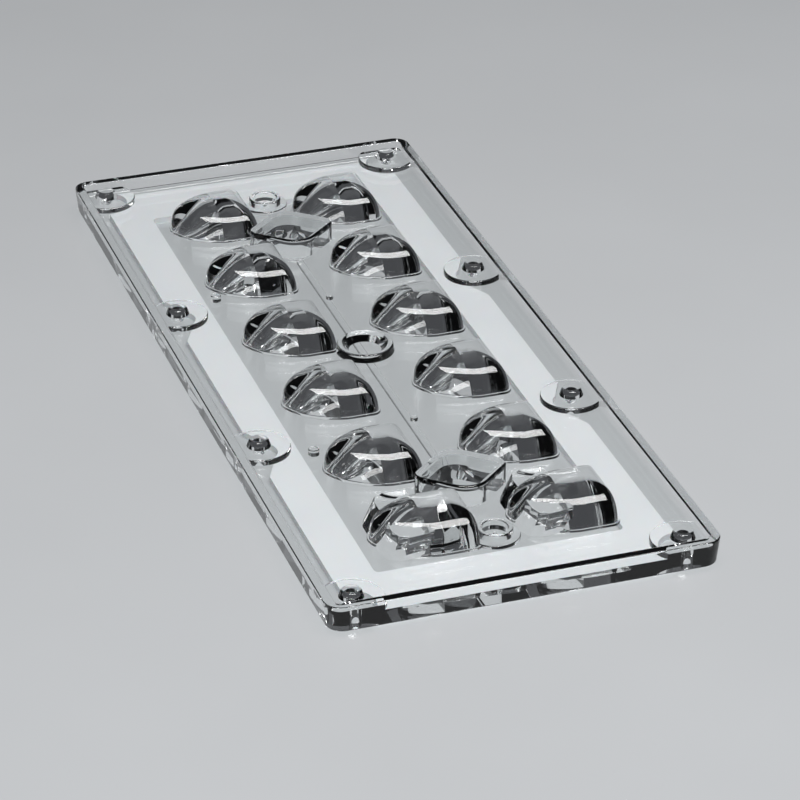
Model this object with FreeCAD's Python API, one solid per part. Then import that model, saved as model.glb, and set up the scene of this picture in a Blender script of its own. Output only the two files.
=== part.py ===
import FreeCAD
import Part
import math
import os

Vector = FreeCAD.Vector
UP = Vector(0, 0, 1)

# A clear lens plate for two columns of six LEDs, on a white silicone gasket.
# X runs across the plate, Y along it and Z up, in millimetres.
# The gasket lies on the plane z = 0, under the middle of the plate.

# Lens grid
pitch = 25.4
columns = 2
rows = 6

# Tray: a flat floor inside a raised rim
plate_length = 173.0
plate_width = 71.4
plate_height = 5.0
floor_thickness = 2.6
rim_width = 1.9
corner_radius = 3.0
recess_corner_radius = 1.4
side_draft = 0.4

# Lens, measured from its place in the grid: the tail is towards -X, the nose towards +X
lens_tail = 8.4
lens_nose = 7.8
lens_half_width = 8.5
lens_shoulder = 2.2
lens_corner_radius = 1.7
lens_fullness = 0.42
lens_apex = 1.1
lens_height = 6.3
flange_reach = 0.3
flange_height = 0.4

# Both lenses in the nearest row have a longer nose and carry their apex further out
near_nose = 9.4
near_apex = 2.5

# Faceted block over the tail of both lenses in the nearest row, closing in towards its flat top
tail_block_reach = 8.0
tail_block_half_width = 8.1
tail_block_corner = 3.0
tail_block_end = 1.0
tail_block_end_half_width = 7.6
tail_block_height = 4.4
tail_block_top_length = 0.76
tail_block_top_width = 0.98

# Hollow over the LED, open below, with a flat wall towards +X
hollow_tail = 6.4
hollow_wall = 0.9
hollow_half_width = 6.2
hollow_height = 5.2
hollow_fullness = 0.5

# Levels that shape each dome, up to the small flat on top, whose angle is in degrees
dome_levels = 7
dome_last_angle = 87.0

# How full each side of the lens stays on its way up: 2 is a quarter ellipse, more is fuller
tail_power = 3.2
nose_power = 2.6
near_nose_power = 4
side_power = 1.85

# How far a hollow is cut past the face that it opens in, and how near a plane counts as in it
cut_overrun = 0.5
plane_reach = 0.001

# Raised diamond between four lenses, hollow below to clear a connector
diamond_half_width = 9.6
diamond_half_length = 8.6
diamond_side_radius = 2.4
diamond_end_radius = 4.5
diamond_height = 3.9
diamond_edge_radius = 0.6
diamond_wall = 1.3
diamond_roof = 1.4
diamond_y = 2 * pitch

# Fixing bosses along both long sides, the outer ones set in from the plate's edges
boss_side_inset = 5.7
boss_end_inset = 5.5
boss_y_inner = 27.0
boss_pad_radius = 5.8
boss_pad_height = 1.0
boss_foot_radius = 2.6
boss_top_radius = 1.7
screw_hole_diameter = 2.2
screw_hole_depth = 3.6

# Round features along the middle
collar_y = 3.4
collar_foot_radius = 5.6
collar_top_radius = 5.3
collar_height = 1.5
collar_lip = 0.9
collar_seat_radius = 3.1

ring_from_last_lens = 5.3
ring_outer_radius = 3.2
ring_wall = 0.9
ring_height = 1.9
lip_edge_radius = 0.35
ring_base_radius = 4.5
ring_base_height = 0.6
pip_radius = 0.6
pip_height = 0.8

gate_radius = 0.7
gate_height = 0.6
peg_x = -21.1
peg_y = 31.6
peg_radius = 1.0
peg_height = 1.2

# Rib under the floor, along the middle line
rib_width = 1.2
rib_depth = 0.8

# Gasket, set in from the plate's edges and open in the middle
gasket_thickness = 1.2
gasket_end_inset = 2.5
gasket_side_inset = 5.3
gasket_end_border = 12.0
gasket_side_border = 7.6
window_corner_radius = 1.0
notch_radius = 3.4
notch_half_length = 9.0
notch_throat = 2.6
gasket_corner_cut_radius = 4.2

# Heights and places worked out from the sizes above
underside = gasket_thickness
deck = underside + floor_thickness
rim_top = underside + plate_height
recess_length = plate_length - 2 * rim_width
recess_width = plate_width - 2 * rim_width
boss_x = plate_width / 2 - boss_side_inset
boss_y_outer = plate_length / 2 - boss_end_inset
ring_y = (rows - 1) / 2 * pitch + ring_from_last_lens
gasket_length = plate_length - 2 * gasket_end_inset
gasket_width = plate_width - 2 * gasket_side_inset


def rounded_rectangle(width, length, radius, z):
    """A closed wire in the plane z, centred on the Z axis."""
    x, y = width / 2, length / 2
    inner = radius * (1 - math.sqrt(0.5))
    edges = []
    corners = ((1, 1), (-1, 1), (-1, -1), (1, -1))
    for index, (sx, sy) in enumerate(corners):
        ends = [Vector(sx * x, sy * (y - radius), z), Vector(sx * (x - radius), sy * y, z)]
        if sx * sy < 0:
            ends.reverse()
        middle = Vector(sx * (x - inner), sy * (y - inner), z)
        edges.append(Part.Arc(ends[0], middle, ends[1]).toShape())
        nx, ny = corners[(index + 1) % 4]
        following = Vector(nx * x, ny * (y - radius), z)
        if nx * ny < 0:
            following = Vector(nx * (x - radius), ny * y, z)
        edges.append(Part.LineSegment(ends[1], following).toShape())
    return Part.Wire(edges)


def rounded_block(width, length, radius, low, high):
    face = Part.Face(rounded_rectangle(width, length, radius, low))
    return face.extrude(UP * (high - low))


def bezier(*points):
    curve = Part.BezierCurve()
    curve.setPoles(list(points))
    return curve.toShape()


def rounded_tail(at, tail, shoulder, half_width, fullness):
    """Two edges from the left shoulder round the tail's tip to the right one."""
    bend_x = shoulder - (shoulder + tail) * fullness
    bend_y = half_width * fullness
    tip = at(-tail, 0)
    return [bezier(at(shoulder, half_width), at(bend_x, half_width), at(-tail, bend_y), tip),
            bezier(tip, at(-tail, -bend_y), at(bend_x, -half_width), at(shoulder, -half_width))]


def lens_outline(at, nose):
    """A rounded tail and a squared nose."""
    side = lens_half_width
    inner = lens_corner_radius
    bend = inner * (1 - math.sqrt(0.5))
    return rounded_tail(at, lens_tail, lens_shoulder, side, lens_fullness) + [
        Part.LineSegment(at(lens_shoulder, -side), at(nose - inner, -side)).toShape(),
        Part.Arc(at(nose - inner, -side), at(nose - bend, bend - side), at(nose, inner - side)).toShape(),
        Part.LineSegment(at(nose, inner - side), at(nose, side - inner)).toShape(),
        Part.Arc(at(nose, side - inner), at(nose - bend, side - bend), at(nose - inner, side)).toShape(),
        Part.LineSegment(at(nose - inner, side), at(lens_shoulder, side)).toShape(),
    ]


def hollow_outline(at, wall):
    """A rounded tail that ends at a flat wall."""
    side = hollow_half_width
    flat = Part.LineSegment(at(wall, -side), at(wall, side)).toShape()
    return rounded_tail(at, hollow_tail, wall, side, hollow_fullness) + [flat]


def dome(outline, tail, nose, apex, low, foot, top, powers=(2, 2, 2)):
    """A solid on a short upright foot, whose tail, nose and sides close in on the apex on the way up."""

    def wire(climb, z):
        tail_share, nose_share, side_share = [(1 - climb ** power) ** (1 / power) for power in powers]
        start = apex - (apex + tail) * tail_share
        stretch = (apex + (nose - apex) * nose_share - start) / (tail + nose)

        def at(x, y):
            return Vector(start + (x + tail) * stretch, y * side_share, z)

        return Part.Wire(outline(at, nose))

    wires = [wire(0, low)]
    last = math.radians(dome_last_angle)
    for level in range(dome_levels):
        climb = math.sin(last * level / (dome_levels - 1))
        wires.append(wire(climb, foot + (top - foot) * climb / math.sin(last)))
    return Part.makeLoft(wires, True, False)


def lens_body(nose, apex, power):
    return dome(lens_outline, lens_tail, nose, apex, underside, deck, deck + lens_height,
                (tail_power, power, side_power))


def lens_flange(nose):
    """A low step round the foot of the lens."""
    share = 1 + flange_reach / lens_half_width
    outline = Part.Wire(lens_outline(lambda x, y: Vector(x * share, y * share, deck), nose))
    return Part.Face(outline).extrude(UP * flange_height)


def tail_block():
    """A block with two facets at each corner of the tail, which ends inside the lens."""
    far = -tail_block_reach
    side = tail_block_half_width
    bend = tail_block_corner * (1 - math.sqrt(0.5))
    right = [(tail_block_end, tail_block_end_half_width),
             (far + tail_block_corner, side),
             (far + bend, side - bend),
             (far, side - tail_block_corner)]
    outline = right + [(x, -y) for x, y in reversed(right)]

    def wire(length, width, z):
        points = [Vector(tail_block_end + (x - tail_block_end) * length, y * width, z)
                  for x, y in outline]
        return Part.makePolygon(points + points[:1])

    return Part.makeLoft([wire(1, 1, deck),
                          wire(tail_block_top_length, tail_block_top_width,
                               deck + tail_block_height)], True, True)


def lens_hollow():
    """The apex lies in the flat wall, so that the wall stands upright."""
    return dome(hollow_outline, hollow_tail, hollow_wall, hollow_wall, underside - cut_overrun,
                underside, underside + hollow_height)


def lens_places(rows_wanted):
    return [Vector((column - (columns - 1) / 2) * pitch, (row - (rows - 1) / 2) * pitch, 0)
            for row in rows_wanted for column in range(columns)]


def boss_places():
    for sx in (-1, 1):
        for y in (-boss_y_outer, -boss_y_inner, boss_y_inner, boss_y_outer):
            yield Vector(sx * boss_x, y, 0)


def copies(shape, places):
    return [shape.translated(place) for place in places]


def cylinder(radius, low, high, x=0, y=0):
    return Part.makeCylinder(radius, high - low, Vector(x, y, low), UP)


def cone(low_radius, high_radius, low, high, x=0, y=0):
    return Part.makeCone(low_radius, high_radius, high - low, Vector(x, y, low), UP)


def round_upright_edges(block, radius, chosen):
    edges = [edge for edge in block.Edges
             if abs(edge.tangentAt(edge.FirstParameter).z) > 0.9 and chosen(edge.CenterOfMass)]
    return block.makeFillet(radius, edges)


def round_top_edges(block, radius, top):
    edges = [edge for edge in block.Edges
             if all(abs(end.Z - top) < plane_reach for end in edge.Vertexes)]
    return block.makeFillet(radius, edges)


def diamond(inset, low, high):
    """A rounded rhombus, each side moved inwards by the inset."""
    side = math.hypot(diamond_half_width, diamond_half_length)
    x = diamond_half_width - inset * side / diamond_half_length
    y = diamond_half_length - inset * side / diamond_half_width
    corners = [Vector(x, 0, low), Vector(0, y, low), Vector(-x, 0, low), Vector(0, -y, low)]
    block = Part.Face(Part.makePolygon(corners + corners[:1])).extrude(UP * (high - low))
    block = round_upright_edges(block, diamond_side_radius - inset, lambda at: abs(at.x) > 0.9 * x)
    return round_upright_edges(block, diamond_end_radius - inset, lambda at: abs(at.y) > 0.9 * y)


def tray():
    foot = rounded_rectangle(plate_width - 2 * side_draft, plate_length - 2 * side_draft,
                             corner_radius - side_draft, underside)
    brim = rounded_rectangle(plate_width, plate_length, corner_radius, rim_top)
    block = Part.makeLoft([foot, brim], True, True)
    recess = rounded_block(recess_width, recess_length, recess_corner_radius, deck, rim_top + cut_overrun)
    return block.cut(recess), recess


def boss(recess, place):
    pad = cylinder(boss_pad_radius, deck, deck + boss_pad_height, place.x, place.y).common(recess)
    post = cone(boss_foot_radius, boss_top_radius, deck, rim_top, place.x, place.y)
    return pad.fuse(post)


def collar():
    top = deck + collar_height
    wall = cone(collar_foot_radius, collar_top_radius, deck, top)
    mouth = cone(collar_seat_radius, collar_top_radius - collar_lip, deck, top)
    ring = round_top_edges(wall.cut(mouth), lip_edge_radius, top)
    return ring.translated(Vector(0, collar_y, 0))


def end_ring(y):
    top = deck + ring_height
    base = cylinder(ring_base_radius, deck, deck + ring_base_height, 0, y)
    wall = cylinder(ring_outer_radius, deck, top, 0, y)
    bore = cylinder(ring_outer_radius - ring_wall, deck, top, 0, y)
    pip = cone(pip_radius, pip_radius / 2, deck, deck + pip_height, 0, y)
    return round_top_edges(base.fuse(wall).cut(bore), lip_edge_radius, top).fuse(pip)


def lens_plate():
    plate, recess = tray()
    near = lens_places([0])
    others = lens_places(range(1, rows))
    hollows = copies(lens_hollow(), near + others)
    raised = copies(tail_block(), near)
    raised += copies(lens_body(near_nose, near_apex, near_nose_power), near)
    raised += copies(lens_flange(near_nose), near)
    raised += copies(lens_body(lens_nose, lens_apex, nose_power), others)
    raised += copies(lens_flange(lens_nose), others)
    raised += [boss(recess, place) for place in boss_places()]
    raised.append(collar())
    rib_low = underside - rib_depth
    raised.append(Part.makeBox(rib_width, 2 * diamond_y, rib_depth,
                               Vector(-rib_width / 2, -diamond_y, rib_low)))
    hollows += [cylinder(screw_hole_diameter / 2, underside, underside + screw_hole_depth,
                         place.x, place.y) for place in boss_places()]
    for side in (-1, 1):
        away = Vector(0, side * diamond_y, 0)
        top = deck + diamond_height
        block = round_top_edges(diamond(0, deck, top), diamond_edge_radius, top)
        raised.append(block.translated(away))
        hollows.append(diamond(diamond_wall, rib_low, top - diamond_roof).translated(away))
        raised.append(end_ring(side * ring_y))
        raised.append(cylinder(gate_radius, deck, deck + gate_height, 0, side * pitch))
        raised.append(cylinder(peg_radius, deck, deck + peg_height, peg_x, side * peg_y))
    return plate.fuse(raised).removeSplitter().cut(hollows)


def notch(place):
    """A round seat for a boss, with a throat that flares to the gasket's edge."""
    side = math.copysign(1, place.x)
    throat_x = place.x - side * math.sqrt(notch_radius ** 2 - notch_throat ** 2)
    mouth_x = side * (gasket_width / 2 + cut_overrun)
    flare = [Vector(mouth_x, place.y + notch_half_length, 0),
             Vector(throat_x, place.y + notch_throat, 0),
             Vector(throat_x, place.y - notch_throat, 0),
             Vector(mouth_x, place.y - notch_half_length, 0)]
    opening = Part.Face(Part.makePolygon(flare + flare[:1])).extrude(UP * gasket_thickness)
    return cylinder(notch_radius, 0, gasket_thickness, place.x, place.y).fuse(opening)


def corner_cut(place):
    """A round seat for a boss that also takes the gasket's corner beyond it."""
    reach = Vector(gasket_width / 2 + cut_overrun - abs(place.x),
                   gasket_length / 2 + cut_overrun - abs(place.y), gasket_thickness)
    corner = Part.makeBox(reach.x, reach.y, reach.z,
                          Vector(min(place.x, place.x + math.copysign(reach.x, place.x)),
                                 min(place.y, place.y + math.copysign(reach.y, place.y)), 0))
    return cylinder(gasket_corner_cut_radius, 0, gasket_thickness, place.x, place.y).fuse(corner)


def gasket():
    sheet = Part.makeBox(gasket_width, gasket_length, gasket_thickness,
                         Vector(-gasket_width / 2, -gasket_length / 2, 0))
    cuts = [rounded_block(gasket_width - 2 * gasket_side_border,
                          gasket_length - 2 * gasket_end_border,
                          window_corner_radius, 0, gasket_thickness)]
    for place in boss_places():
        outer = abs(place.y) == boss_y_outer
        cuts.append(corner_cut(place) if outer else notch(place))
    return sheet.cut(cuts)


os.makedirs("parts", exist_ok=True)
lens_plate().exportStep("parts/lens_plate.step")
gasket().exportStep("parts/gasket.step")
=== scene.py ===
# %% [markdown]
# # A clear lens plate on a white gasket
# The object is a moulded acrylic plate with twelve lenses for street-light LEDs. It lies on a flat silicone
# gasket. The CAD frame holds both pieces at their real size. Here the plate is modelled again as one
# smooth, closed skin, because clear plastic bends light at every face and would show each flat triangle of
# a CAD mesh.

# %% The frame
import math

import bmesh
import bpy
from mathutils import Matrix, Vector


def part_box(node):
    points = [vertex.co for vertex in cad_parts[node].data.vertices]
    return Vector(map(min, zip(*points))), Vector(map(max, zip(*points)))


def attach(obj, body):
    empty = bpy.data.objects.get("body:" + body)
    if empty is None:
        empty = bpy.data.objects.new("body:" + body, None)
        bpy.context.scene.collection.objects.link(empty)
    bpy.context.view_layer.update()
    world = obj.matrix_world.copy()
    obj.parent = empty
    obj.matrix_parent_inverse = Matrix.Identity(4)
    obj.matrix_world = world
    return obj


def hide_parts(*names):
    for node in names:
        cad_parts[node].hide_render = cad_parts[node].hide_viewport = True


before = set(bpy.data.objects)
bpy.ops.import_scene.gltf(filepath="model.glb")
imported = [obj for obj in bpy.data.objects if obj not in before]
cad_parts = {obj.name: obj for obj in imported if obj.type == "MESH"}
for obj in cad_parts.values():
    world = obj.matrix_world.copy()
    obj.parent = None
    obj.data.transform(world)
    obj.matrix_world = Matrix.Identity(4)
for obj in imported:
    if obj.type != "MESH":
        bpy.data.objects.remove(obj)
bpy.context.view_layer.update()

plate_low, plate_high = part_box("lens_plate")
gasket_low, gasket_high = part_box("gasket")
print("plate", plate_low, plate_high)
print("gasket", gasket_low, gasket_high)

# %% [markdown]
# ## Sizes
# Blender works in metres, and a moulding is drawn in millimetres, so each size is a number of millimetres
# times `mm`. What the frame can tell is read from it: the outline from the plate's box, and the height of
# the plate's underside from the top of the gasket that carries it. A film of air stays between them, as in
# the real pair, because a ray can't tell which of two coinciding faces it meets first.

# %% Sizes of the tray and places of the lenses
mm = 0.001
plate_width = plate_high.x - plate_low.x
plate_length = plate_high.y - plate_low.y
air_film = 0.02 * mm
underside = gasket_high.z + air_film
rim_top = underside + 5.0 * mm
deck = underside + 2.6 * mm
rim_width = 1.9 * mm
side_draft = 0.4 * mm
corner_radius = 3.0 * mm
edge_radius = 0.3 * mm

# How far a piece reaches into what it is fused with or cut from
overrun = 0.5 * mm

# How near a height or place counts as met, and how near two points are merged
touch = 0.01 * mm
merge_distance = 0.002 * mm

# Lens grid, two columns across the plate and six rows along it
pitch = 25.4 * mm
columns = (-0.5 * pitch, 0.5 * pitch)
near_places = [(x, -2.5 * pitch) for x in columns]
other_places = [(x, row * pitch) for x in columns for row in (-1.5, -0.5, 0.5, 1.5, 2.5)]
lens_places = near_places + other_places
print("lenses", len(lens_places))

# %% [markdown]
# ## Helpers for modelling by hand
# Everything is shaped in edit mode. An operator acts on what is selected, so one helper starts a piece with
# nothing else selected, and one picks points, edges or faces by where their middle lies.

# %% Start, pick and finish
def start(name, add, **settings):
    """Adds a primitive with its place in its mesh, names it and opens it in edit mode."""
    bpy.ops.object.select_all(action="DESELECT")
    add(**settings)
    piece = bpy.context.object
    piece.name = name
    bpy.ops.object.transform_apply(location=True, rotation=True, scale=True)
    bpy.ops.object.mode_set(mode="EDIT")
    return piece


def pick(kind, test):
    """Selects the points, edges or faces that pass a test of their middle and themselves."""
    bpy.ops.mesh.select_mode(type=kind)
    bpy.ops.mesh.select_all(action="DESELECT")
    mesh = bmesh.from_edit_mesh(bpy.context.edit_object.data)
    for item in {"VERT": mesh.verts, "EDGE": mesh.edges, "FACE": mesh.faces}[kind]:
        points = [item.co] if kind == "VERT" else [point.co for point in item.verts]
        item.select_set(test(sum(points, Vector()) / len(points), item))
    mesh.select_flush_mode()
    bmesh.update_edit_mesh(bpy.context.edit_object.data)


def merge_doubles():
    bpy.ops.mesh.select_all(action="SELECT")
    bpy.ops.mesh.remove_doubles(threshold=merge_distance)


def finish_edit():
    """Merges doubled points, turns the faces outwards and leaves edit mode."""
    merge_doubles()
    bpy.ops.mesh.normals_make_consistent(inside=False)
    bpy.ops.object.mode_set(mode="OBJECT")


# %% [markdown]
# Three more steps come back in nearly every piece. A selected face is raised, the edges of a flat top are
# rounded, and a piece is sunk a little into what it will be fused with, so that no two faces coincide.

# %% Raise, round and sink
clear_angle = math.radians(40)
level_enough = 0.9


def near(value, target):
    return abs(value - target) < touch


def raise_face(height):
    bpy.ops.mesh.extrude_region_move(TRANSFORM_OT_translate={"value": (0, 0, height)})


def round_edges_at(height, radius, segments=4):
    """Rounds every level edge at a height that two faces share at a clear angle."""
    pick("EDGE", lambda at, edge: all(near(point.co.z, height) for point in edge.verts)
         and edge.calc_face_angle(0) > clear_angle)
    bpy.ops.mesh.bevel(offset=radius, segments=segments, affect="EDGES")


def sink(height):
    """Lengthens a piece downwards from its level foot."""
    pick("FACE", lambda at, face: near(at.z, height) and abs(face.normal.z) > level_enough)
    raise_face(-overrun)


# %% [markdown]
# ## The tray
# The real tray is a shallow dish with drafted sides, so that it leaves its mould. A block gets its draft by
# shrinking the bottom face, its corners by bevelling the upright edges, and its recess by an inset that is
# pushed down. The last bevel is the small edge radius that catches the light along every rim.

# %% Tray
tray = start("clear_lens_plate", bpy.ops.mesh.primitive_cube_add, size=1,
             location=(0, 0, (underside + rim_top) / 2),
             scale=(plate_width, plate_length, rim_top - underside))
pick("FACE", lambda at, face: near(at.z, underside))
bpy.ops.transform.resize(value=(1 - 2 * side_draft / plate_width, 1 - 2 * side_draft / plate_length, 1),
                         center_override=(0, 0, underside))
pick("EDGE", lambda at, edge: near(at.z, (underside + rim_top) / 2))
bpy.ops.mesh.bevel(offset=corner_radius, segments=10, affect="EDGES")
pick("FACE", lambda at, face: near(at.z, rim_top))
bpy.ops.mesh.inset(thickness=rim_width, use_even_offset=True)
raise_face(deck - rim_top)
round_edges_at(rim_top, edge_radius)
round_edges_at(underside, edge_radius)
finish_edit()
print("tray faces", len(tray.data.polygons))

# %% [markdown]
# ## The lens
# Each lens throws its light sideways, so it is no turned form. Seen from above it has a rounded tail and a
# squared nose. A plane gets this outline: its two tail corners are bevelled until the bevels meet at the
# tip, and the rounded part is then stretched to its length. The fullness says how square the tail is: it is
# the share of each side that a curve's handle would take there, 0.55 for a quarter circle. The bevel gets
# the profile whose middle lies where the middle of that curve does. The hollow over the LED has the same
# kind of outline, with a flat wall in place of the nose.

# %% Outline with a rounded tail
def tail_outline(name, tail, nose, half_width, shoulder, fullness, low, corner=0, segments=32):
    """A flat face whose tail rounds off from the shoulder to its tip."""
    piece = start(name, bpy.ops.mesh.primitive_plane_add, size=2 * half_width, location=(0, 0, low))
    tail_end = shoulder - half_width
    middle_reach = (4 + 3 * fullness) / 8
    pick("VERT", lambda at, point: at.x < 0)
    bpy.ops.transform.translate(value=(shoulder, 0, 0))
    pick("VERT", lambda at, point: at.x > shoulder)
    bpy.ops.transform.translate(value=(nose - half_width, 0, 0))
    if corner:
        pick("VERT", lambda at, point: near(at.x, nose))
        bpy.ops.mesh.bevel(offset=corner, segments=10, affect="VERTICES")
    pick("VERT", lambda at, point: near(at.x, tail_end))
    bpy.ops.mesh.bevel(offset=half_width, segments=segments, profile=middle_reach ** 2,
                       affect="VERTICES", clamp_overlap=False)
    pick("VERT", lambda at, point: at.x < shoulder - touch)
    bpy.ops.transform.resize(value=((shoulder + tail) / half_width, 1, 1),
                             center_override=(shoulder, 0, low))
    merge_doubles()
    bpy.ops.mesh.select_mode(type="FACE")
    bpy.ops.mesh.select_all(action="SELECT")
    return piece


# %% [markdown]
# Seen from the side, a lens is a dome whose tail, nose and sides close in on the apex at their own pace.
# The pace is a power: 2 gives a quarter ellipse, and more keeps that side full for longer. The outline is
# raised level by level, and at each level resized about its tail's tip and moved with it. The last level
# stops just short of closing, which leaves a narrow flat along the apex.

# %% Dome
last_angle = math.radians(88.5)


def raise_dome(tail, nose, apex, foot, top, powers, levels=30):
    """Raises the selected outline in levels that close in on the apex."""
    tip = -tail
    stretch = 1
    width = 1
    height = foot
    for level in range(1, levels + 1):
        climb = math.sin(last_angle * level / levels)
        tail_share, nose_share, side_share = [(1 - climb ** power) ** (1 / power) for power in powers]
        new_tip = apex - (apex + tail) * tail_share
        new_stretch = (apex + (nose - apex) * nose_share - new_tip) / (tail + nose)
        new_height = foot + (top - foot) * climb / math.sin(last_angle)
        raise_face(new_height - height)
        bpy.ops.transform.resize(value=(new_stretch / stretch, side_share / width, 1),
                                 center_override=(tip, 0, new_height))
        bpy.ops.transform.translate(value=(new_tip - tip, 0, 0))
        tip, stretch, width, height = new_tip, new_stretch, side_share, new_height


# %% [markdown]
# The two lenses in the nearest row differ from the other ten: their nose is longer and fuller. So the lens
# is a function of its nose, its apex and its nose's power, and is made twice.

# %% Lenses
lens_tail = 8.4 * mm
lens_half_width = 8.5 * mm
lens_shoulder = 2.2 * mm
lens_corner_radius = 1.7 * mm
lens_fullness = 0.42
lens_height = 6.3 * mm
tail_power = 3.2
side_power = 1.85

# Nose, apex and power of the nose: first of ten lenses, then of the two in the nearest row
lens_nose = 7.8 * mm
lens_apex = 1.1 * mm
nose_power = 2.6
near_nose = 9.4 * mm
near_apex = 2.5 * mm
near_nose_power = 4.0


def lens_outline(name, nose, low):
    return tail_outline(name, lens_tail, nose, lens_half_width, lens_shoulder, lens_fullness, low,
                        lens_corner_radius)


def lens(name, nose, apex, power):
    piece = lens_outline(name, nose, deck - overrun)
    raise_face(overrun)
    raise_dome(lens_tail, nose, apex, deck, deck + lens_height, (tail_power, power, side_power))
    finish_edit()
    print(name, len(piece.data.polygons), [round(size / mm, 2) for size in piece.dimensions])
    return piece


other_lens = lens("lens", lens_nose, lens_apex, nose_power)
near_lens = lens("near_lens", near_nose, near_apex, near_nose_power)

# %% [markdown]
# A low step runs round the foot of each lens. It is the same outline, slightly larger, and its rounded edge
# draws a bright line round the lens.

# %% Flange
flange_reach = 0.3 * mm
flange_top = deck + 0.4 * mm
flange_edge_radius = 0.15 * mm


def flange(name, nose):
    piece = lens_outline(name, nose, deck - overrun)
    share = 1 + flange_reach / lens_half_width
    bpy.ops.transform.resize(value=(share, share, 1), center_override=(0, 0, deck - overrun))
    raise_face(flange_top - deck + overrun)
    round_edges_at(flange_top, flange_edge_radius, 3)
    finish_edit()
    return piece


other_flange = flange("flange", lens_nose)
near_flange = flange("near_flange", near_nose)
print("flange faces", len(other_flange.data.polygons))

# %% [markdown]
# A faceted block stands over the tail of each near lens. It is a plane whose tail corners are bevelled in
# two steps. It is raised while it closes in towards a flat top, whose length and width are shares of its
# foot's. Its edges get a small radius, because a cutter can't leave a sharp inner edge in the mould.

# %% Tail block
block_reach = 8.0 * mm
block_end = 1.0 * mm
block_half_width = 8.1 * mm
block_end_half_width = 7.6 * mm
block_corner = 3.0 * mm
block_top = deck + 4.4 * mm
block_top_length = 0.76
block_top_width = 0.98
block_edge_radius = 0.25 * mm
block_edge_angle = math.radians(15)

tail_block = start("tail_block", bpy.ops.mesh.primitive_plane_add, size=2 * block_half_width,
                   location=(block_half_width - block_reach, 0, deck))
pick("VERT", lambda at, point: at.x > 0)
bpy.ops.transform.translate(value=(block_end + block_reach - 2 * block_half_width, 0, 0))
pick("VERT", lambda at, point: at.x < 0)
bpy.ops.mesh.bevel(offset=block_corner, segments=2, affect="VERTICES")
pick("VERT", lambda at, point: at.x > 0)
bpy.ops.transform.resize(value=(1, block_end_half_width / block_half_width, 1),
                         center_override=(0, 0, deck))
bpy.ops.mesh.select_mode(type="FACE")
bpy.ops.mesh.select_all(action="SELECT")
raise_face(block_top - deck)
bpy.ops.transform.resize(value=(block_top_length, block_top_width, 1),
                         center_override=(block_end, 0, block_top))
sink(deck)
pick("EDGE", lambda at, edge: at.z > deck + touch and edge.calc_face_angle(0) > block_edge_angle)
bpy.ops.mesh.bevel(offset=block_edge_radius, segments=3, affect="EDGES")
finish_edit()
print("tail block", len(tail_block.data.polygons), [round(size / mm, 2) for size in tail_block.dimensions])

# %% [markdown]
# The hollow over the LED shrinks towards its flat wall, so the wall stays upright. It starts a little below
# the plate, so that the cut leaves no film of plastic.

# %% Hollow over the LED
hollow_tail = 6.4 * mm
hollow_wall = 0.9 * mm
hollow_half_width = 6.2 * mm
hollow_top = underside + 5.2 * mm
hollow_fullness = 0.5
quarter_ellipse = 2

hollow = tail_outline("LED_hollow", hollow_tail, hollow_wall, hollow_half_width, hollow_wall,
                      hollow_fullness, underside - overrun)
raise_face(overrun)
raise_dome(hollow_tail, hollow_wall, hollow_wall, underside, hollow_top, [quarter_ellipse] * 3)
finish_edit()
print("hollow faces", len(hollow.data.polygons))

# %% [markdown]
# ## Copies and joins
# What repeats is modelled once. Each copy gets its own mesh and is moved in it. All that stands on the tray
# is then fused with it, and all that is hollow is cut away, so that the plate is one skin: two overlapping
# skins would show their inner walls through the clear plastic.

# %% Copy and combine
def copies(piece, places):
    """Copies of a piece at the places, each with its own mesh, joined into one object. They don't touch."""
    made = []
    for x, y in places:
        bpy.ops.object.select_all(action="DESELECT")
        piece.select_set(True)
        bpy.context.view_layer.objects.active = piece
        bpy.ops.object.duplicate()
        bpy.ops.transform.translate(value=(x, y, 0))
        bpy.ops.object.transform_apply(location=True, rotation=True, scale=True)
        made.append(bpy.context.object)
    bpy.ops.object.select_all(action="DESELECT")
    for one in made:
        one.select_set(True)
    bpy.context.view_layer.objects.active = made[0]
    bpy.ops.object.join()
    made[0].name = piece.name
    bpy.data.objects.remove(piece)
    return made[0]


def apply_modifier(piece, step):
    bpy.ops.object.select_all(action="DESELECT")
    bpy.context.view_layer.objects.active = piece
    bpy.ops.object.modifier_apply(modifier=step.name)


def combine(piece, operation, *others):
    """Fuses the others with the piece, cuts them from it, or keeps what they share."""
    for other in others:
        step = piece.modifiers.new(other.name, "BOOLEAN")
        step.operation = operation
        step.solver = "MANIFOLD"
        step.object = other
        apply_modifier(piece, step)
        bpy.data.objects.remove(other)


# %% [markdown]
# ## Round features
# Fixing posts, the collar in the middle and the rings at both ends are all turned. A post is a cone between
# two heights. A collar is a cone too, with a tunnel: the top and the bottom face are inset, and a bridge
# between the two inner faces opens the mouth.

# %% Turned pieces
def turned(name, foot_radius, top_radius, low, high, segments=48, round_top=0, mouth=None):
    """An upright cone sunk at its foot. It may have a rounded top and a mouth right through."""
    piece = start(name, bpy.ops.mesh.primitive_cone_add, vertices=segments, radius1=foot_radius,
                  radius2=top_radius, depth=high - low, location=(0, 0, (low + high) / 2))
    if mouth:
        for height, outer, inner in ((low, foot_radius, mouth[0]), (high, top_radius, mouth[1])):
            pick("FACE", lambda at, face: near(at.z, height))
            bpy.ops.mesh.inset(thickness=outer - inner)
        pick("FACE", lambda at, face: near(at.x, 0) and near(at.y, 0))
        bpy.ops.mesh.bridge_edge_loops()
    if round_top:
        round_edges_at(high, round_top)
    sink(low)
    finish_edit()
    return piece


# %% [markdown]
# Four posts stand along each long side. Each is a slim cone on a low round pad, with a blind hole from
# below for its screw.

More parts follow.
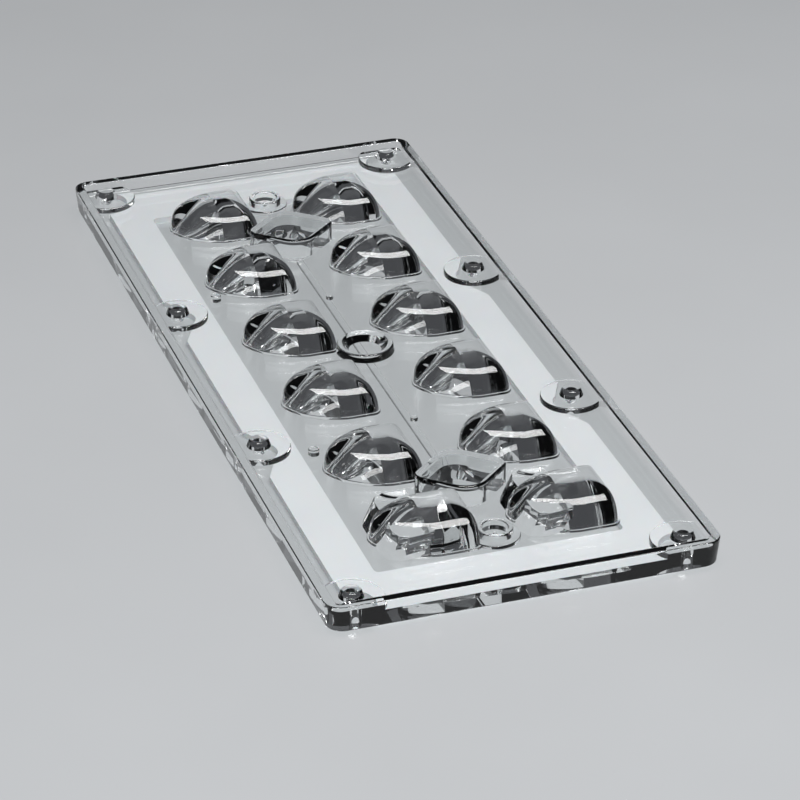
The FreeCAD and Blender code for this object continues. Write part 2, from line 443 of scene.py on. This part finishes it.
# %% Fixing posts and their pads
post_x = plate_width / 2 - 5.7 * mm
post_y_inner = 27.0 * mm
post_y_outer = plate_length / 2 - 5.5 * mm
post_rows = (-post_y_outer, -post_y_inner, post_y_inner, post_y_outer)
post_places = [(side * post_x, y) for side in (-1, 1) for y in post_rows]
pad_radius = 5.8 * mm
pad_top = deck + 1.0 * mm
post_foot_radius = 2.6 * mm
post_top_radius = 1.7 * mm
post_edge_radius = 0.5 * mm
hole_radius = 1.1 * mm
hole_top = underside + 3.6 * mm

pads = copies(turned("post_pad", pad_radius, pad_radius, deck, pad_top, 72, edge_radius), post_places)
posts = copies(turned("fixing_post", post_foot_radius, post_top_radius, deck, rim_top, 48,
                      post_edge_radius), post_places)
screw_holes = copies(turned("screw_hole", hole_radius, hole_radius, underside, hole_top, 36), post_places)
print("posts", len(post_places))

# %% [markdown]
# The rim cuts the pads off at the side, so each pad keeps only what it shares with a block that reaches to
# the middle of the rim.

# %% Pads inside the rim
limit_height = 10 * mm
limit = start("pad_limit", bpy.ops.mesh.primitive_cube_add, size=1, location=(0, 0, deck),
              scale=(plate_width - rim_width, plate_length - rim_width, limit_height))
finish_edit()
combine(pads, "INTERSECT", limit)
print("pad faces", len(pads.data.polygons))

# %% [markdown]
# The collar stands near the middle of the plate and its mouth narrows towards the floor. Small marks are
# left by the moulding: a gate mark where the melt came in, a peg where a pin pushed the plate out, and a
# pip inside each end ring.

# %% Collar, marks and pips
collar_y = 3.4 * mm
collar_foot_radius = 5.6 * mm
collar_top_radius = 5.3 * mm
collar_top = deck + 1.5 * mm
collar_seat_radius = 3.1 * mm
collar_mouth_radius = 4.4 * mm
lip_edge_radius = 0.35 * mm
collar = copies(turned("middle_collar", collar_foot_radius, collar_top_radius, deck, collar_top, 72,
                       lip_edge_radius, (collar_seat_radius, collar_mouth_radius)), [(0, collar_y)])

pip_radius = 0.6 * mm
pip_top = deck + 0.8 * mm
end_y = 2.5 * pitch + 5.3 * mm
end_places = [(0, -end_y), (0, end_y)]
pips = copies(turned("ring_pip", pip_radius, pip_radius / 2, deck, pip_top, 24), end_places)

gate_radius = 0.7 * mm
gate_top = deck + 0.6 * mm
gate_edge_radius = 0.15 * mm
gate_places = [(0, -pitch), (0, pitch)]
gates = copies(turned("gate_mark", gate_radius, gate_radius, deck, gate_top, 24, gate_edge_radius),
               gate_places)

peg_radius = 1.0 * mm
peg_top = deck + 1.2 * mm
peg_edge_radius = 0.2 * mm
peg_x = -21.1 * mm
peg_y = 31.6 * mm
peg_places = [(peg_x, -peg_y), (peg_x, peg_y)]
pegs = copies(turned("peg", peg_radius, peg_radius, deck, peg_top, 36, peg_edge_radius), peg_places)
print("round marks", len(end_places + gate_places + peg_places))

# %% [markdown]
# An end ring stands on a low base. A disc is inset and raised to the ring's top, inset again for the ring's
# wall, and bridged through to an inset in its bottom.

# %% End rings
base_radius = 4.5 * mm
ring_radius = 3.2 * mm
bore_radius = 2.3 * mm
base_top = deck + 0.6 * mm
ring_top = deck + 1.9 * mm
base_edge_radius = 0.2 * mm

ring = start("end_ring", bpy.ops.mesh.primitive_cylinder_add, vertices=72, radius=base_radius,
             depth=base_top - deck, location=(0, 0, (deck + base_top) / 2))
pick("FACE", lambda at, face: near(at.z, base_top))
bpy.ops.mesh.inset(thickness=base_radius - ring_radius)
raise_face(ring_top - base_top)
bpy.ops.mesh.inset(thickness=ring_radius - bore_radius)
pick("FACE", lambda at, face: near(at.z, deck))
bpy.ops.mesh.inset(thickness=base_radius - bore_radius)
pick("FACE", lambda at, face: near(at.x, 0) and near(at.y, 0))
bpy.ops.mesh.bridge_edge_loops()
round_edges_at(ring_top, lip_edge_radius)
pick("EDGE", lambda at, edge: all(near(point.co.z, base_top) and near(point.co.xy.length, base_radius)
                                  for point in edge.verts))
bpy.ops.mesh.bevel(offset=base_edge_radius, segments=3, affect="EDGES")
sink(deck)
finish_edit()
rings = copies(ring, end_places)
print("ring faces", len(rings.data.polygons))

# %% [markdown]
# ## The raised diamonds
# Two diamonds stand between four lenses each, hollow below to clear a connector on the circuit board. A
# diamond starts as a cylinder with four sides, stretched to its length, with its upright edges bevelled
# round. A bevel is given by how far it runs along a face, so each radius is divided by the tangent of half
# the angle inside its corner.

# %% Diamonds
diamond_top = deck + 3.9 * mm
diamond_places = [(0, -2 * pitch), (0, 2 * pitch)]
diamond_half_width = 9.6 * mm
diamond_half_length = 8.6 * mm
diamond_side_radius = 2.4 * mm
diamond_end_radius = 4.5 * mm
diamond_edge_radius = 0.6 * mm
connector_half_width = 7.66 * mm
connector_half_length = 6.86 * mm
connector_side_radius = 1.1 * mm
connector_end_radius = 3.2 * mm
connector_low = underside - 1.0 * mm
connector_top = diamond_top - 1.4 * mm


def diamond(name, half_width, half_length, side_radius, end_radius, low, high, round_top=0):
    middle = (low + high) / 2
    piece = start(name, bpy.ops.mesh.primitive_cylinder_add, vertices=4, radius=1, depth=high - low,
                  location=(0, 0, middle))
    bpy.ops.transform.resize(value=(half_width, half_length, 1), center_override=(0, 0, middle))
    for radius, at_side in ((side_radius, True), (end_radius, False)):
        pick("EDGE", lambda at, edge: near(at.z, middle) and (abs(at.x) > half_width / 2) == at_side
             and (abs(at.y) > half_length / 2) != at_side)
        half_angle = math.atan2(half_length, half_width) if at_side else math.atan2(half_width, half_length)
        bpy.ops.mesh.bevel(offset=radius / math.tan(half_angle), segments=10, affect="EDGES")
    if round_top:
        round_edges_at(high, round_top, 5)
    finish_edit()
    return piece


diamonds = copies(diamond("diamond", diamond_half_width, diamond_half_length, diamond_side_radius,
                          diamond_end_radius, deck - overrun, diamond_top, diamond_edge_radius),
                  diamond_places)
connector_hollows = copies(diamond("connector_hollow", connector_half_width, connector_half_length,
                                   connector_side_radius, connector_end_radius, connector_low,
                                   connector_top), diamond_places)
print("diamond faces", len(diamonds.data.polygons))

# %% [markdown]
# ## The rib
# A thin rib under the floor joins the two diamonds along the middle line and stiffens the plate. It is a
# bare bar, because its edges disappear in the fused skin, and the frame's box says how deep it hangs.

# %% Rib under the floor
rib_width = 1.2 * mm
rib_top = underside + overrun
rib = start("rib", bpy.ops.mesh.primitive_cube_add, size=1, location=(0, 0, (plate_low.z + rib_top) / 2),
            scale=(rib_width, 4 * pitch, rib_top - plate_low.z))
finish_edit()
print("rib", [round(size / mm, 2) for size in rib.dimensions])

# %% [markdown]
# ## One closed skin
# First everything that stands on the tray is fused with it, then every hollow is cut. A closed skin has
# exactly two faces at each edge, which the last line counts.

# %% Fuse and cut
combine(tray, "UNION", copies(other_lens, other_places), copies(near_lens, near_places),
        copies(other_flange, other_places), copies(near_flange, near_places),
        copies(tail_block, near_places), pads, posts, collar, rings, pips, gates, pegs, diamonds, rib)
combine(tray, "DIFFERENCE", copies(hollow, lens_places), screw_holes, connector_hollows)
print("plate faces", len(tray.data.polygons))
skin = bmesh.new()
skin.from_mesh(tray.data)
print("edges without two faces", sum(len(edge.link_faces) != 2 for edge in skin.edges))
skin.free()

# %% [markdown]
# Smooth shading stops at edges sharper than 25 degrees. The fused skin has long thin faces beside large
# flat ones, so the normals are weighted by area: otherwise a flat face would seem to bend near its edge.

# %% Shade the plate
smooth_limit = math.radians(25)
bpy.ops.object.select_all(action="DESELECT")
tray.select_set(True)
bpy.context.view_layer.objects.active = tray
bpy.ops.object.shade_smooth_by_angle(angle=smooth_limit)
even = tray.modifiers.new("even_shading", "WEIGHTED_NORMAL")
even.keep_sharp = True
apply_modifier(tray, even)
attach(tray, "root")
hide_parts("lens_plate")
print("sharp edges", sum(edge.use_edge_sharp for edge in tray.data.edges))

# %% [markdown]
# ## Finishes
# Colours are given as sRGB hex values, as a paint chart gives them, and turned to linear light for the
# shader.

# %% Helpers for materials
def linear(code):
    """An sRGB hex colour as linear red, green, blue and alpha."""
    shares = [int(code[i:i + 2], 16) / 255 for i in (0, 2, 4)]
    return [s / 12.92 if s <= 0.04045 else ((s + 0.055) / 1.055) ** 2.4 for s in shares] + [1.0]


def add(tree, kind, settings={}, links={}):
    """Adds a node. Settings name its sockets or its properties, and links name the sockets they feed."""
    node = tree.nodes.new(kind)
    for name, value in settings.items():
        if name in node.inputs:
            node.inputs[name].default_value = value
        else:
            setattr(node, name, value)
    for name, source in links.items():
        tree.links.new(source, node.inputs[name])
    return node


def new_material(name):
    material = bpy.data.materials.new(name)
    material.use_nodes = True
    material.node_tree.nodes.clear()
    return material, material.node_tree


# %% [markdown]
# ### Clear acrylic
# The plate is PMMA, injection moulded in a polished steel mould. It is almost perfectly clear, bends light
# with an index of 1.49 and mirrors lamps sharply. Melt that cools as it flows leaves very shallow waves
# about nine millimetres apart, which make the highlights swim a little. Lamps also have to reach what lies
# under the plate, so a ray that looks for a lamp, or that leaves a matt surface, passes straight through
# with a small loss.

# %% Clear acrylic
acrylic, tree = new_material("polished clear acrylic")
place = add(tree, "ShaderNodeTexCoord")
waves = add(tree, "ShaderNodeTexNoise", {"Scale": 1 / (9 * mm), "Detail": 1.0},
            {"Vector": place.outputs["Object"]})
relief = add(tree, "ShaderNodeBump", {"Strength": 0.02, "Distance": 0.02 * mm},
             {"Height": waves.outputs["Fac"]})
body = add(tree, "ShaderNodeBsdfPrincipled", {
    "Base Color": linear("FDFEFE"),
    "Roughness": 0.015,
    "IOR": 1.49,
    "Transmission Weight": 1.0,
}, {"Normal": relief.outputs["Normal"]})
through = add(tree, "ShaderNodeBsdfTransparent", {"Color": linear("FAFBFB")})
ray = add(tree, "ShaderNodeLightPath")
unbent = add(tree, "ShaderNodeMath", {"operation": "MAXIMUM"}, {0: ray.outputs["Is Shadow Ray"],
                                                                1: ray.outputs["Is Diffuse Ray"]})
either = add(tree, "ShaderNodeMixShader", {}, {0: unbent.outputs["Value"], 1: body.outputs["BSDF"],
                                               2: through.outputs["BSDF"]})
add(tree, "ShaderNodeOutputMaterial", {}, {"Surface": either.outputs["Shader"]})
tray.data.materials.clear()
tray.data.materials.append(acrylic)
print(acrylic.name, len(tree.nodes))

# %% [markdown]
# ### White silicone
# The gasket is die cut from a silicone sheet. The sheet is matt and slightly chalky, lets a little light
# in, and has a fine grain from the press. The grain is drawn half a millimetre wide, coarser than the real
# one, so that it shows. The tone drifts over a centimetre or so. The CAD node has the right shape, so it
# stays and only takes this finish.

# %% White silicone
silicone, tree = new_material("white silicone sheet")
place = add(tree, "ShaderNodeTexCoord")
grain = add(tree, "ShaderNodeTexNoise", {"Scale": 1 / (0.5 * mm), "Detail": 4.0},
            {"Vector": place.outputs["Object"]})
cloud = add(tree, "ShaderNodeTexNoise", {"Scale": 1 / (14 * mm), "Detail": 2.0},
            {"Vector": place.outputs["Object"]})
relief = add(tree, "ShaderNodeBump", {"Strength": 0.3, "Distance": 0.03 * mm},
             {"Height": grain.outputs["Fac"]})
tone = add(tree, "ShaderNodeValToRGB", {}, {"Fac": cloud.outputs["Fac"]})
tone.color_ramp.elements[0].color = linear("E4E6E9")
tone.color_ramp.elements[1].color = linear("EFF0F2")
body = add(tree, "ShaderNodeBsdfPrincipled", {
    "Roughness": 0.6,
    "IOR": 1.41,
    "Subsurface Weight": 0.15,
    "Subsurface Scale": 0.6 * mm,
}, {"Base Color": tone.outputs["Color"], "Normal": relief.outputs["Normal"]})
add(tree, "ShaderNodeOutputMaterial", {}, {"Surface": body.outputs["BSDF"]})
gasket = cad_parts["gasket"]
gasket.data.materials.clear()
gasket.data.materials.append(silicone)
print(silicone.name, len(tree.nodes))

# %% [markdown]
# ## Stage, light and camera
# The floor is a pale painted board with a slight sheen, a little cloudy as rolled paint is. It is darker
# than the gasket, so that the gasket's frame stands out through the clear plate.

# %% Floor
floor_size = 6.0
floor_material, tree = new_material("pale painted board")
place = add(tree, "ShaderNodeTexCoord")
cloud = add(tree, "ShaderNodeTexNoise", {"Scale": 1 / (60 * mm), "Detail": 3.0},
            {"Vector": place.outputs["Object"]})
tone = add(tree, "ShaderNodeValToRGB", {}, {"Fac": cloud.outputs["Fac"]})
tone.color_ramp.elements[0].color = linear("BCBEC0")
tone.color_ramp.elements[1].color = linear("C3C5C7")
body = add(tree, "ShaderNodeBsdfPrincipled", {"Roughness": 0.3}, {"Base Color": tone.outputs["Color"]})
add(tree, "ShaderNodeOutputMaterial", {}, {"Surface": body.outputs["BSDF"]})
floor = start("studio_floor", bpy.ops.mesh.primitive_plane_add, size=floor_size, location=(0, 0, 0))
finish_edit()
floor.data.materials.append(floor_material)
print(floor.name, [round(size, 2) for size in floor.dimensions])

# %% [markdown]
# One long softbox hangs over the plate, in front of its middle, and draws one level band of light on each
# lens. The dim grey room fills the shadows.

# %% Light
def set_up(name, data, place, target):
    """Puts a lamp or a camera at a place and turns it towards a target."""
    holder = bpy.data.objects.new(name, data)
    bpy.context.scene.collection.objects.link(holder)
    holder.location = place
    holder.rotation_euler = (target - holder.location).to_track_quat("-Z", "Y").to_euler()
    return holder


light = bpy.data.lights.new("overhead softbox", "AREA")
light.shape = "RECTANGLE"
light.size = 0.90
light.size_y = 0.28
light.energy = 12.0
softbox = set_up("overhead softbox", light, (0.0, -0.32, 0.95), Vector((0, 0, 0)))

world = bpy.data.worlds.new("grey room")
world.use_nodes = True
background = world.node_tree.nodes["Background"]
background.inputs["Color"].default_value = linear("6E7074")
background.inputs["Strength"].default_value = 0.4
bpy.context.scene.world = world
bpy.context.scene.view_settings.view_transform = "Standard"
print("lamp", softbox.name, light.energy, "W")

# %% [markdown]
# The camera looks down at the plate from the left of its near end, with a long lens from 70 centimetres. It
# is placed by the point it looks at, its turn about that point, its tilt over the floor and its distance.

# %% Camera
camera_data = bpy.data.cameras.new("camera")
camera_data.lens = 170.0
camera_data.sensor_width = 36.0
target = Vector((1.48, -12.96, 1.2)) * mm
turn = math.radians(-18.56)
tilt = math.radians(28.89)
distance = 700.8 * mm
away = Vector((math.sin(turn) * math.cos(tilt), -math.cos(turn) * math.cos(tilt), math.sin(tilt)))
camera = set_up("camera", camera_data, target + distance * away, target)
bpy.context.scene.camera = camera
print("camera at", [round(value, 3) for value in camera.location])
